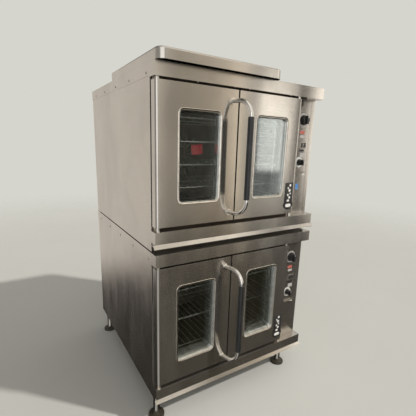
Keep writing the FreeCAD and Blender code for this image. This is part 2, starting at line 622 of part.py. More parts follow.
def insulation(_deck):
    """Mineral wool around the oven box."""
    beside, behind = WOOL
    wool = block(CAVITY_LEFT - beside, CAVITY_RIGHT + beside,
                 FRONT_PLANE + 4, CAVITY_BACK + behind, *WOOL_HEIGHTS)
    gap = BOX_CLEARANCE
    room = rounded_block(CAVITY_LEFT - gap, CAVITY_RIGHT + gap, 0, CAVITY_BACK + gap,
                         CAVITY_BOTTOM - gap, CAVITY_TOP + gap, CAVITY_RADIUS + gap)
    shaft_hole = rod((CAVITY_X, CAVITY_BACK, FAN_HEIGHT), Y_AXIS, SHAFT_RADIUS + SHAFT_CLEARANCE, 2 * behind)
    return wool.cut(room).cut(shaft_hole)


def fan_baffle(_deck):
    """Plate in front of the fan with a slotted inlet, on four stand-offs."""
    beside, above = BAFFLE_MARGIN
    x0, x1 = CAVITY_LEFT + beside, CAVITY_RIGHT - beside
    z0, z1 = CAVITY_BOTTOM + above, CAVITY_TOP - above
    plate = block(x0, x1, BAFFLE_DEPTH, BAFFLE_DEPTH + BAFFLE_THICKNESS, z0, z1)
    slots = []
    for step in range(INLET_SLOTS):
        slot = block(-INLET_SLOT_HALF, INLET_SLOT_HALF, BAFFLE_DEPTH - 5, BAFFLE_DEPTH + 5, *INLET_SLOT)
        slot.rotate(V(0, 0, 0), Y_AXIS, step * 360.0 / INLET_SLOTS)
        slot.translate(V(CAVITY_X, 0, FAN_HEIGHT))
        slots.append(slot)
    inset = BAFFLE_POST_INSET
    posts = [rod((x, BAFFLE_DEPTH + 1, z), Y_AXIS, BAFFLE_POST, CAVITY_BACK - BAFFLE_DEPTH - 1)
             for x in (x0 + inset, x1 - inset) for z in (z0 + inset, z1 - inset)]
    return fuse([plate.cut(Part.makeCompound(slots))] + posts)


def blower_wheel():
    """Centrifugal fan: hub, back disc, blades and a front ring."""
    hub_radius, hub_length = FAN_HUB
    disc = rod((CAVITY_X, FAN_BACK - FAN_SHEET, FAN_HEIGHT), Y_AXIS, FAN_RADIUS, FAN_SHEET)
    hub = rod((CAVITY_X, FAN_BACK - hub_length, FAN_HEIGHT), Y_AXIS, hub_radius, hub_length)
    ring = rod((CAVITY_X, FAN_FRONT, FAN_HEIGHT), Y_AXIS, FAN_RADIUS, FAN_SHEET)
    inlet = rod((CAVITY_X, FAN_FRONT - 1, FAN_HEIGHT), Y_AXIS, FAN_RADIUS - FAN_RING_WIDTH, FAN_SHEET + 2)
    ring = ring.cut(inlet)
    blades = []
    for step in range(FAN_BLADES):
        blade = block(FAN_RADIUS - 1 - BLADE_DEPTH, FAN_RADIUS - 1, FAN_FRONT + 1, FAN_BACK - 1,
                      -BLADE_SHEET / 2, BLADE_SHEET / 2)
        blade.rotate(V(FAN_RADIUS - BLADE_DEPTH / 2, 0, 0), Y_AXIS, BLADE_ANGLE)
        blade.rotate(V(0, 0, 0), Y_AXIS, step * 360.0 / FAN_BLADES)
        blade.translate(V(CAVITY_X, 0, FAN_HEIGHT))
        blades.append(blade)
    wheel = fuse([disc, hub, ring] + blades)
    limit = rod((CAVITY_X, FAN_FRONT - 1, FAN_HEIGHT), Y_AXIS, FAN_RADIUS, 100)
    bore = rod((CAVITY_X, FAN_FRONT - 1, FAN_HEIGHT), Y_AXIS, SHAFT_RADIUS + RUNNING_FIT, 100)
    return wheel.common(limit).cut(bore)


def blower_motor(_deck):
    """Motor behind the insulation with its shaft through to the fan."""
    radius, length = MOTOR
    half, front, back = MOTOR_FLANGE
    body = rod((CAVITY_X, MOTOR_FRONT, FAN_HEIGHT), Y_AXIS, radius, length)
    ends = [e for e in body.Edges if e.Curve.TypeId == "Part::GeomCircle"]
    body = body.makeFillet(MOTOR_EDGE, ends)
    flange = block(CAVITY_X - half, CAVITY_X + half, front, back, FAN_HEIGHT - half, FAN_HEIGHT + half)
    shaft = rod((CAVITY_X, FAN_BACK - 30, FAN_HEIGHT), Y_AXIS, SHAFT_RADIUS, 90)
    return fuse([body, flange, shaft])


def heating_element(_deck):
    """Two tubular rings around the fan, joined by leads that end at the rear wall."""
    rings = [Part.makeTorus(ELEMENT_RADIUS, ELEMENT_TUBE, V(CAVITY_X, d, FAN_HEIGHT), Y_AXIS)
             for d in ELEMENT_DEPTHS]
    start = ELEMENT_DEPTHS[0] - 2
    leads = []
    for angle in ELEMENT_LEADS:
        x = CAVITY_X + ELEMENT_RADIUS * math.cos(math.radians(angle))
        z = FAN_HEIGHT + ELEMENT_RADIUS * math.sin(math.radians(angle))
        leads.append(rod((x, start, z), Y_AXIS, ELEMENT_TUBE - 0.5, CAVITY_BACK - start))
    return fuse(rings + leads)


def guide_side():
    """Left wire guide: three uprights with a rail at every slot, held off the wall by pegs."""
    rail_x = CAVITY_LEFT + GUIDE_RAIL_GAP
    upright_x = CAVITY_LEFT + GUIDE_UPRIGHT_GAP
    low = FIRST_SLOT - GUIDE_MARGIN
    high = FIRST_SLOT + SLOT_PITCH * (SLOTS - 1) + GUIDE_MARGIN
    length = RACK_BACK - RACK_FRONT + 2 * GUIDE_RAIL_END
    parts = []
    for depth in GUIDE_UPRIGHTS:
        parts.append(rod((upright_x, depth, low), Z_AXIS, GUIDE_ROD, high - low))
        for z in (low + GUIDE_PEG_INSET, high - GUIDE_PEG_INSET):
            parts.append(rod((CAVITY_LEFT, depth, z), X_AXIS, GUIDE_PEG, upright_x - CAVITY_LEFT))
    for slot in range(SLOTS):
        z = FIRST_SLOT + SLOT_PITCH * slot
        parts.append(rod((rail_x, RACK_FRONT - GUIDE_RAIL_END, z), Y_AXIS, GUIDE_ROD, length))
    return fuse(parts)


def rack_guides(_deck):
    """Left and right rack guide."""
    left = guide_side()
    return Part.makeCompound([left, mirrored(left, CAVITY_X)])


def rack(slot):
    """Chromed wire shelf that rests on the rails of one slot."""
    z = FIRST_SLOT + SLOT_PITCH * slot + GUIDE_ROD + RACK_ROD + RACK_CLEARANCE
    x0 = CAVITY_LEFT + RACK_SIDE_GAP
    x1 = 2 * CAVITY_X - x0
    length = RACK_BACK - RACK_FRONT
    parts = [rod((x, RACK_FRONT - RACK_ROD_END, z), Y_AXIS, RACK_ROD, length + 2 * RACK_ROD_END)
             for x in (x0, x1)]
    middle = (RACK_FRONT + RACK_BACK) / 2
    for depth in (RACK_FRONT, middle, RACK_BACK):
        parts.append(rod((x0 - 1, depth, z), X_AXIS, RACK_CROSS_ROD, x1 - x0 + 2))
    for wire in range(RACK_WIRES):
        x = x0 + (wire + 1) * (x1 - x0) / (RACK_WIRES + 1)
        start = (x, RACK_FRONT - RACK_WIRE_END, z + RACK_WIRE_RISE)
        parts.append(rod(start, Y_AXIS, RACK_WIRE, length + 2 * RACK_WIRE_END))
    return fuse(parts)


def oven_lamp(_deck):
    """Round lamp glass on the fan baffle."""
    x, z = LAMP
    base = rod((x, BAFFLE_DEPTH - 8, z), Y_AXIS, LAMP_RADIUS, 8)
    dome = Part.makeSphere(LAMP_RADIUS + 4, V(x, BAFFLE_DEPTH + 4, z))
    dome = dome.common(rod((x, BAFFLE_DEPTH - 40, z), Y_AXIS, LAMP_DOME, 33))
    return fuse([base, dome])


# ---------------------------------------------------------------- the whole oven
def deck_nodes(deck):
    """Nodes of one deck that move on their own or line the oven."""
    nodes = {}
    for side in ("left", "right"):
        nodes[f"{deck}_door_{side}_shell"] = door_shell(side)
        nodes[f"{deck}_door_{side}_glass"] = door_glass(side)
        nodes[f"{deck}_door_{side}_trim"] = door_trim(side)
    nodes[f"{deck}_handle_tube"] = handle_tube()
    nodes[f"{deck}_handle_grip"] = handle_grip()
    nodes[f"{deck}_thermostat_knob"] = knob(THERMOSTAT, THERMOSTAT_RADIUS)
    nodes[f"{deck}_timer_knob"] = knob(TIMER, TIMER_RADIUS)
    nodes[f"{deck}_power_switch"] = rocker(POWER_SWITCH)
    nodes[f"{deck}_light_switch"] = rocker(LIGHT_SWITCH)
    nodes[f"{deck}_blower_wheel"] = blower_wheel()
    nodes[f"{deck}_cavity_liner"] = cavity_liner()
    for number, slot in enumerate(RACK_SLOTS[deck], start=1):
        nodes[f"{deck}_rack_{number}"] = rack(slot)
    return {name: on_deck(shape, deck) for name, shape in nodes.items()}


def shared_nodes():
    """Nodes that hold the same fixed piece of both decks, and the pieces of the whole stack."""
    groups = {
        "deck_caps": deck_cap,
        "back_panels": back_panel,
        "base_pans": base_pan,
        "front_ledges": front_ledge,
        "front_frames": front_frame,
        "door_gaskets": door_gasket,
        "control_panels": control_panel,
        "access_panels": access_panel,
        "casing_screws": casing_screws,
        "hinge_pins": hinge_pins,
        "insulation": insulation,
        "fan_baffles": fan_baffle,
        "blower_motors": blower_motor,
        "heating_elements": heating_element,
        "rack_guides": rack_guides,
        "oven_lamps": oven_lamp,
    }
    nodes = {name: both_decks(make) for name, make in groups.items()}
    for side in ("left", "right"):
        nodes[f"side_panels_{side}"] = both_decks(lambda deck: side_panel(deck, side))
    nodes["stacking_frame"] = stacking_frame()
    nodes["top_cover"] = top_cover()
    nodes["leg_stems"] = leg_stems()
    for end, depth in zip(("front", "rear"), LEG_DEPTH):
        for side, x in zip(("left", "right"), LEG_X):
            nodes[f"foot_{end}_{side}"] = levelling_foot(x, depth)
    return nodes


def main():
    """Write one STEP file per node."""
    os.makedirs("parts", exist_ok=True)
    nodes = shared_nodes()
    for deck in DECKS:
        nodes.update(deck_nodes(deck))
    for name, shape in nodes.items():
        shape.translate(V(0, Y_SHIFT, 0))
        shape.exportStep(f"parts/{name}.step")
        box = shape.BoundBox
        print(f"{name}: {len(shape.Solids)} solids, valid {shape.isValid()}, {shape.Volume / 1e3:.0f} cm3, "
              f"x {box.XMin:.1f} {box.XMax:.1f}, y {box.YMin:.1f} {box.YMax:.1f}, "
              f"z {box.ZMin:.1f} {box.ZMax:.1f}")
    print(len(nodes), "nodes, y shift", Y_SHIFT)


main()
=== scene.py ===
"""Looks of a double-stack convection oven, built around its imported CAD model."""
import json
import math

import bmesh
import bpy
from mathutils import Matrix, Vector


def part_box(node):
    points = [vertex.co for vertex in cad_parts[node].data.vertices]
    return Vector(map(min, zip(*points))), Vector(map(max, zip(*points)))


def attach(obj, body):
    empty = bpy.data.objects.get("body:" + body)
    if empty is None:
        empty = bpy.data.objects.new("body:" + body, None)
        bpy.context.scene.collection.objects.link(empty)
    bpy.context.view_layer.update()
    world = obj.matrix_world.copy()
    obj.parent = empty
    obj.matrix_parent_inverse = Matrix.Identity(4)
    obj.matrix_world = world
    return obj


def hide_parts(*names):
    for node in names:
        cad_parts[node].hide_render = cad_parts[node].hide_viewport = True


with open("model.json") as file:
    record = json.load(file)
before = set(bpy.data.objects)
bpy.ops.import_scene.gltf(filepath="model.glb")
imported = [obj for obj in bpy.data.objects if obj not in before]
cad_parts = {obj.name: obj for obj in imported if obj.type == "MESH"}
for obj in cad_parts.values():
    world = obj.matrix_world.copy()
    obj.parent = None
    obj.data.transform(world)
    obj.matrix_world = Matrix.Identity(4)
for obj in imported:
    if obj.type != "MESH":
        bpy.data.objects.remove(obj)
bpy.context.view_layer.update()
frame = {"nodes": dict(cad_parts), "record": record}

DECKS = ("upper", "lower")
MM = 0.001
DOOR_SILL = 94 * MM            # underside of a door above the underside of its deck
PANEL_DEPTH = 50.5             # millimetres from the fascia back to the control panels' face
BACK_DEPTH = 1040              # millimetres from the fascia back to the back panels' outside


# ---------------------------------------------------------------- shader building
class Finish:
    """A node-based material under construction, mapped in the object's own space in metres."""

    def __init__(self, name, **sockets):
        self.material = bpy.data.materials.new(name)
        self.material.use_nodes = True
        self.tree = self.material.node_tree
        self.shader = self.tree.nodes["Principled BSDF"]
        self.place = self.add("ShaderNodeTexCoord").outputs["Object"]
        for label, value in sockets.items():
            self.shader.inputs[label.replace("_", " ")].default_value = value

    def add(self, kind, **settings):
        """A new node with its settings."""
        node = self.tree.nodes.new(kind)
        for label, value in settings.items():
            setattr(node, label, value)
        return node

    def link(self, source, target):
        self.tree.links.new(source, target)

    def stretched(self, scale):
        """The object's coordinates scaled along each axis, in cycles a metre."""
        mapping = self.add("ShaderNodeMapping")
        mapping.inputs["Scale"].default_value = scale
        self.link(self.place, mapping.inputs["Vector"])
        return mapping.outputs["Vector"]

    def noise(self, scale, detail=3.0, rough=0.55, distort=0.0):
        """Noise between 0 and 1, whose cells are 1/scale metres long on each axis."""
        node = self.add("ShaderNodeTexNoise")
        node.inputs["Scale"].default_value = 1.0
        node.inputs["Detail"].default_value = detail
        node.inputs["Roughness"].default_value = rough
        node.inputs["Distortion"].default_value = distort
        self.link(self.stretched(scale), node.inputs["Vector"])
        return node.outputs["Fac"]

    def specks(self, scale, size):
        """1 inside small round specks scattered one to a cell, 0 elsewhere."""
        node = self.add("ShaderNodeTexVoronoi")
        node.inputs["Scale"].default_value = 1.0
        self.link(self.stretched(scale), node.inputs["Vector"])
        return self.span(node.outputs["Distance"], size, size * 0.7)

    def span(self, source, start, end, low=0.0, high=1.0):
        """A value that runs from low to high as the source goes from start to end."""
        node = self.add("ShaderNodeMapRange", interpolation_type="SMOOTHSTEP")
        for label, value in (("From Min", start), ("From Max", end), ("To Min", low), ("To Max", high)):
            node.inputs[label].default_value = value
        self.link(source, node.inputs["Value"])
        return node.outputs["Result"]

    def math(self, operation, first, second):
        """The result of a Math node on two sockets or numbers."""
        node = self.add("ShaderNodeMath", operation=operation)
        for slot, value in zip(node.inputs, (first, second)):
            if isinstance(value, (int, float)):
                slot.default_value = value
            else:
                self.link(value, slot)
        return node.outputs["Value"]

    def blend(self, factor, first, second):
        """A colour between two colours, each a socket or an RGB triple."""
        node = self.add("ShaderNodeMix", data_type="RGBA")
        first_colour, second_colour = node.inputs[6], node.inputs[7]    # the colour pair among the typed inputs
        for slot, value in ((node.inputs["Factor"], factor), (first_colour, first), (second_colour, second)):
            if isinstance(value, tuple):
                slot.default_value = (*value, 1.0)
            elif isinstance(value, (int, float)):
                slot.default_value = value
            else:
                self.link(value, slot)
        return node.outputs[2]          # the colour among the typed outputs

    def bump(self, height, distance, strength=1.0, below=None):
        """Shading relief from a height between 0 and 1, a number of metres deep, over another relief."""
        node = self.add("ShaderNodeBump")
        node.inputs["Distance"].default_value = distance
        node.inputs["Strength"].default_value = strength
        self.link(height, node.inputs["Height"])
        if below is not None:
            self.link(below, node.inputs["Normal"])
        return node.outputs["Normal"]

    def feed(self, **sockets):
        """Link sockets into the shader."""
        for label, source in sockets.items():
            self.link(source, self.shader.inputs[label.replace("_", " ")])


# ---------------------------------------------------------------- materials
STEEL_LIGHT = (0.66, 0.622, 0.572)
STEEL_DARK = (0.57, 0.537, 0.49)
GRAIN = (9.0, 9.0, 1400.0)             # cycles a metre on each axis, so the grain runs level
GRAIN_SHADE = (0.36, 0.33, 0.29)
GRAIN_DEPTH = 0.02 * MM
FOLD_RADIUS = 0.9 * MM                 # rounding that the shading gives to every fold


def brushed_steel(name, light, dark, rough, wave):
    """Brushed stainless sheet: level grain, faint smudges, soft folds and the slow waves of thin sheet."""
    steel = Finish(name, Metallic=0.95, Anisotropic=1.0, Anisotropic_Rotation=0.25)
    tangent = steel.add("ShaderNodeTangent", direction_type="RADIAL", axis="Z")
    steel.link(tangent.outputs["Tangent"], steel.shader.inputs["Tangent"])
    fold = steel.add("ShaderNodeBevel", samples=4)
    fold.inputs["Radius"].default_value = FOLD_RADIUS
    streaks = steel.noise(GRAIN, detail=2.0, rough=0.7)
    clouds = steel.noise((3.1, 3.1, 2.3), detail=4.0, rough=0.6, distort=0.6)
    wipes = steel.noise((9.0, 9.0, 2.2), detail=5.0, rough=0.65)
    tone = steel.blend(steel.span(clouds, 0.3, 0.7), dark, light)
    tone = steel.blend(steel.span(streaks, 0.2, 0.8, 0.0, 0.16), tone, GRAIN_SHADE)
    roughness = steel.math("ADD", steel.span(wipes, 0.3, 0.75, rough - 0.02, rough + 0.035),
                           steel.span(streaks, 0.25, 0.75, -0.02, 0.02))
    relief = steel.bump(steel.noise((1.9, 1.9, 1.4), detail=1.0), wave, below=fold.outputs["Normal"])
    relief = steel.bump(streaks, GRAIN_DEPTH, 0.5, relief)
    steel.feed(Base_Color=tone, Roughness=roughness, Normal=relief)
    return steel.material


def plated(name, tone, rough, metal=1.0):
    """Polished chrome or bright plating with a little haze."""
    chrome = Finish(name, Metallic=metal)
    haze = chrome.noise((28.0, 28.0, 28.0), detail=4.0)
    shade = tuple(0.82 * part for part in tone)
    chrome.feed(Base_Color=chrome.blend(chrome.span(haze, 0.35, 0.7), tone, shade),
                Roughness=chrome.span(haze, 0.3, 0.75, rough, rough + 0.09),
                Normal=chrome.bump(haze, 0.1 * MM, 0.2))
    return chrome.material


def moulded(name, tone, rough, pebble=0.06 * MM):
    """Black moulded plastic or rubber with a fine texture and dusty wear."""
    plastic = Finish(name)
    fine = plastic.noise((900.0, 900.0, 900.0), detail=2.0)
    dust = plastic.noise((16.0, 16.0, 9.0), detail=5.0)
    worn = tuple(part * 1.9 + 0.01 for part in tone)
    plastic.feed(Base_Color=plastic.blend(plastic.span(dust, 0.45, 0.8), tone, worn),
                 Roughness=plastic.span(dust, 0.3, 0.8, rough, rough + 0.16),
                 Normal=plastic.bump(fine, pebble, 0.6))
    return plastic.material


def painted(name, tone, rough):
    """Sprayed or cast coating with orange peel and rubbed patches."""
    paint = Finish(name)
    peel = paint.noise((420.0, 420.0, 420.0), detail=2.0)
    rub = paint.noise((12.0, 12.0, 12.0), detail=5.0)
    paint.feed(Base_Color=paint.blend(paint.span(rub, 0.4, 0.8), tone, tuple(0.62 * part for part in tone)),
               Roughness=paint.span(rub, 0.3, 0.8, rough, rough + 0.14),
               Normal=paint.bump(peel, 0.12 * MM, 0.5))
    return paint.material


def enamel(name):
    """Dark vitreous enamel with pale specks and baked-on stains."""
    coat = Finish(name, Coat_Weight=0.6, Coat_Roughness=0.12)
    stains = coat.noise((7.0, 7.0, 7.0), detail=5.0, distort=0.8)
    tone = coat.blend(coat.span(stains, 0.35, 0.75), (0.035, 0.038, 0.042), (0.075, 0.062, 0.045))
    tone = coat.blend(coat.specks((140.0, 140.0, 140.0), 0.16), tone, (0.42, 0.44, 0.46))
    coat.feed(Base_Color=tone, Roughness=coat.span(stains, 0.3, 0.8, 0.22, 0.42),
              Normal=coat.bump(coat.noise((60.0, 60.0, 60.0)), 0.3 * MM, 0.35))
    return coat.material


def pane_glass(name):
    """Heat-reflecting pane: part mirror and part clear, with a greasy film."""
    glass = Finish(name)
    output = glass.tree.nodes["Material Output"]
    glass.tree.nodes.remove(glass.shader)
    film = glass.noise((11.0, 11.0, 3.5), detail=5.0, distort=0.5)
    clear = glass.add("ShaderNodeBsdfTransparent")
    glass.link(glass.blend(glass.span(film, 0.35, 0.8), (0.965, 0.98, 0.975), (0.9, 0.915, 0.905)),
               clear.inputs["Color"])
    mirror = glass.add("ShaderNodeBsdfGlossy")
    mirror.inputs["Color"].default_value = (0.93, 0.98, 1.0, 1.0)
    glass.link(glass.span(film, 0.3, 0.8, 0.0, 0.03), mirror.inputs["Roughness"])
    angle = glass.add("ShaderNodeLayerWeight")
    angle.inputs["Blend"].default_value = 0.5
    mixer = glass.add("ShaderNodeMixShader")
    glass.link(glass.span(angle.outputs["Facing"], 0.12, 0.75, 0.018, 0.9), mixer.inputs["Fac"])
    glass.link(clear.outputs["BSDF"], mixer.inputs[1])
    glass.link(mirror.outputs["BSDF"], mixer.inputs[2])
    glass.link(mixer.outputs["Shader"], output.inputs["Surface"])
    return glass.material


def rope(name):
    """Black knitted glass-fibre rope."""
    fibre = Finish(name, Roughness=0.85, Sheen_Weight=0.25)
    knit = fibre.noise((500.0, 500.0, 500.0), detail=3.0)
    fibre.feed(Base_Color=fibre.blend(fibre.span(knit, 0.35, 0.7), (0.012, 0.012, 0.013), (0.06, 0.056, 0.05)),
               Normal=fibre.bump(knit, 0.6 * MM, 0.8))
    return fibre.material


def mineral_wool(name):
    """Yellow-grey mineral wool."""
    wool = Finish(name, Roughness=0.95, Sheen_Weight=0.3)
    tufts = wool.noise((90.0, 90.0, 260.0), detail=6.0, rough=0.7)
    wool.feed(Base_Color=wool.blend(wool.span(tufts, 0.3, 0.75), (0.33, 0.27, 0.15), (0.62, 0.55, 0.38)),
              Normal=wool.bump(tufts, 4.0 * MM, 0.8))
    return wool.material


def lamp_glass(name):
    """Frosted lamp lens with a faint warm body."""
    lens = Finish(name, Transmission_Weight=0.35, IOR=1.47)
    frost = lens.noise((240.0, 240.0, 240.0), detail=3.0)
    lens.feed(Base_Color=lens.blend(lens.span(frost, 0.3, 0.7), (0.86, 0.84, 0.76), (0.74, 0.71, 0.62)),
              Roughness=lens.span(frost, 0.3, 0.7, 0.12, 0.24),
              Normal=lens.bump(frost, 0.2 * MM, 0.4))
    return lens.material


def printed(name, tone, faded):
    """Matt print or label film, unevenly faded."""
    ink = Finish(name)
    wear = ink.noise((120.0, 120.0, 60.0), detail=5.0)
    ink.feed(Base_Color=ink.blend(ink.span(wear, 0.4, 0.75), tone, faded),
             Roughness=ink.span(wear, 0.3, 0.8, 0.38, 0.6),
             Normal=ink.bump(wear, 0.04 * MM, 0.4))
    return ink.material


MATERIALS = {
    "casing_steel": brushed_steel("casing_steel_look", STEEL_LIGHT, STEEL_DARK, 0.155, 1.2 * MM),
    "door_steel": brushed_steel("door_steel_look", STEEL_LIGHT, STEEL_DARK, 0.14, 1.1 * MM),
    "panel_steel": brushed_steel("panel_steel_look", (0.7, 0.66, 0.6), (0.61, 0.57, 0.52), 0.145, 0.5 * MM),
    "baffle_steel": brushed_steel("baffle_steel_look", (0.36, 0.31, 0.25), (0.2, 0.17, 0.14), 0.4, 0.6 * MM),
    "element_steel": plated("element_steel_look", (0.26, 0.22, 0.19), 0.42),
    "fan_aluminium": plated("fan_aluminium_look", (0.62, 0.6, 0.57), 0.38),
    "trim_chrome": plated("trim_chrome_look", (0.78, 0.74, 0.67), 0.16),
    "handle_chrome": plated("handle_chrome_look", (0.84, 0.81, 0.76), 0.06),
    "wire_chrome": plated("wire_chrome_look", (0.86, 0.84, 0.79), 0.2, 0.5),
    "leg_chrome": plated("leg_chrome_look", (0.84, 0.82, 0.78), 0.16),
    "screw_steel": plated("screw_steel_look", (0.6, 0.57, 0.52), 0.24),
    "window_glass": pane_glass("window_glass_look"),
    "grip_black": moulded("grip_black_look", (0.016, 0.017, 0.018), 0.34),
    "knob_black": moulded("knob_black_look", (0.014, 0.014, 0.015), 0.3),
    "foot_black": moulded("foot_black_look", (0.035, 0.03, 0.022), 0.46, 0.2 * MM),
    "frame_paint": painted("frame_paint_look", (0.075, 0.066, 0.055), 0.5),
    "motor_paint": painted("motor_paint_look", (0.12, 0.13, 0.14), 0.42),
    "enamel": enamel("enamel_look"),
    "gasket_black": rope("gasket_black_look"),
    "wool": mineral_wool("wool_look"),
    "lamp_glass": lamp_glass("lamp_glass_look"),
}
FRAME_SHADE_STEEL = plated("frame_shade_steel_look", (0.09, 0.075, 0.06), 0.45)       # painted shade: near-black finish on the frames behind the doors, so the gap under each fascia reads dark
PRINTS = {
    "black": printed("black_print_look", (0.012, 0.012, 0.013), (0.03, 0.028, 0.026)),
    "white": printed("white_print_look", (0.72, 0.71, 0.68), (0.5, 0.49, 0.46)),
    "red": printed("red_print_look", (0.42, 0.075, 0.06), (0.5, 0.2, 0.16)),
    "grey": printed("grey_print_look", (0.36, 0.35, 0.34), (0.52, 0.5, 0.47)),
    "blue": printed("blue_print_look", (0.05, 0.2, 0.52), (0.16, 0.32, 0.58)),
    "tag": printed("tag_red_look", (0.5, 0.02, 0.035), (0.62, 0.05, 0.06)),
}


def dress_nodes():
    """Give every CAD node the finish of its slot, which is what its imported material is named."""
    for node in frame["nodes"].values():
        slot = node.data.materials[0].name.split(".")[0]
        node.data.materials[0] = MATERIALS[slot]
    # painted shade: the front frames get a near-black finish that darkens the gap under each fascia
    frame["nodes"]["front_frames"].data.materials[0] = FRAME_SHADE_STEEL


# ---------------------------------------------------------------- mesh building
def deck_point(deck, x, depth, height):
    """A place in millimetres: across the front, behind the fascia, above the underside of a deck."""
    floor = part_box(f"{deck}_door_left_shell")[0].z - DOOR_SILL
    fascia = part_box("deck_caps")[0].y
    return Vector((x * MM, fascia + depth * MM, floor + height * MM))


def add_piece(name, bm, body, finish, crease=35.0):
    """A piece made of a finished mesh, riding on a body, smooth except across creases."""
    mesh = bpy.data.meshes.new(name)
    bmesh.ops.recalc_face_normals(bm, faces=bm.faces)
    for face in bm.faces:
        face.smooth = True
    for edge in bm.edges:
        edge.smooth = edge.is_manifold and edge.calc_face_angle() < math.radians(crease)
    bm.to_mesh(mesh)
    bm.free()
    if "custom_normal" in mesh.attributes:
        mesh.attributes.remove(mesh.attributes["custom_normal"])
    mesh.materials.append(finish)
    piece = bpy.data.objects.new(name, mesh)
    bpy.context.scene.collection.objects.link(piece)
    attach(piece, body)
    return piece


def body_of(node):
    """Name of the body that a CAD node rides on."""
    for body, nodes in frame["record"]["behaviour"]["bodies"].items():
        if node in nodes:
            return body
    raise KeyError(node)


def outer_edges(bm, least):
    """Folds along the outside of a mesh: long edges that lie on two sides of its box."""
    close = 0.05 * MM
    low = [min(vert.co[axis] for vert in bm.verts) for axis in range(3)]
    high = [max(vert.co[axis] for vert in bm.verts) for axis in range(3)]
    found = []
    for edge in bm.edges:
        sides = 0
        for axis in range(3):
            for limit in (low[axis], high[axis]):
                sides += all(abs(vert.co[axis] - limit) < close for vert in edge.verts)
        if sides >= 2 and edge.calc_length() > least:
            found.append(edge)
    return found


def sharp_edges(bm, least):
    """Every long edge where two faces meet at more than 30 degrees."""
    return [edge for edge in bm.edges if edge.is_manifold and edge.calc_length() > least
            and edge.calc_face_angle() > math.radians(30)]


def softened(node, width, pick=sharp_edges, least=6 * MM):
    """A CAD node's own shape with the picked edges rounded."""
    bm = bmesh.new()
    bm.from_mesh(frame["nodes"][node].data)
    bmesh.ops.remove_doubles(bm, verts=bm.verts, dist=0.001 * MM)
    bmesh.ops.dissolve_limit(bm, angle_limit=math.radians(0.5), verts=bm.verts, edges=bm.edges)
    bmesh.ops.bevel(bm, geom=pick(bm, least), offset=width, offset_type="OFFSET", segments=3, profile=0.5,
                    affect="EDGES", clamp_overlap=True)
    slot = next(row["material_slot"] for row in frame["record"]["subparts"] if row["node"] == node)
    piece = add_piece(f"{node}_soft", bm, body_of(node), MATERIALS[slot], crease=20.0)
    keep_flat = piece.modifiers.new("keep_flat", "WEIGHTED_NORMAL")
    keep_flat.keep_sharp = True
    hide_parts(node)


def rounded_outline(centre, half_width, half_height, radius, spacing):
    """Points round an upright rounded rectangle facing the front, each with its outward direction."""
    outline = []
    for turn, (side, rise) in enumerate(((1, 1), (-1, 1), (-1, -1), (1, -1))):
        corner = centre + Vector((side * (half_width - radius), 0.0, rise * (half_height - radius)))
        steps = max(6, round(radius * math.pi / 2 / spacing))
        for step in range(steps + 1):
            angle = math.radians(90.0 * (turn + step / steps))
            out = Vector((math.cos(angle), 0.0, math.sin(angle)))
            outline.append((corner + radius * out, out))
    dense = []
    for (point, out), (following, next_out) in zip(outline, outline[1:] + outline[:1]):
        dense.append((point, out))
        steps = int((following - point).length / spacing)
        if (next_out - out).length < 0.001:
            dense += [(point.lerp(following, step / (steps + 1)), out) for step in range(1, steps + 1)]
    return dense


def carry_round(bm, outline, section):
    """A ring-shaped solid: section(index) gives (outward, depth) points at each point of an outline."""
    rings = []
    for index, (point, out) in enumerate(outline):
        rings.append([bm.verts.new(point + offset * out + Vector((0.0, depth, 0.0)))
                      for offset, depth in section(index)])
    for ring, following in zip(rings, rings[1:] + rings[:1]):
        for here in range(len(ring)):
            there = (here + 1) % len(ring)
            bm.faces.new((ring[here], ring[there], following[there], following[here]))


def add_slab(bm, corners, thickness, round_edge=0.0):
    """A flat solid: corners in the plane of its back, counted round, grown toward the front."""
    back = [bm.verts.new(corner) for corner in corners]
    front = [bm.verts.new(corner - Vector((0.0, thickness, 0.0))) for corner in corners]
    for here in range(len(corners)):
        there = (here + 1) % len(corners)
        bm.faces.new((back[here], back[there], front[there], front[here]))
    bm.faces.new(back[::-1])
    face = bm.faces.new(front)
    if round_edge:
        bmesh.ops.bevel(bm, geom=list(face.edges), offset=round_edge, offset_type="OFFSET", segments=2,
                        profile=0.5, affect="EDGES", clamp_overlap=True)


def oblong(centre, half_width, half_height, radius, steps=5):
    """Corners of a rounded rectangle facing the front."""
    points = []
    for turn, (side, rise) in enumerate(((1, 1), (-1, 1), (-1, -1), (1, -1))):
        for step in range(steps + 1):
            angle = math.radians(90.0 * (turn + step / steps))
            points.append(centre + Vector((side * (half_width - radius) + radius * math.cos(angle), 0.0,
                                           rise * (half_height - radius) + radius * math.sin(angle))))
    return points


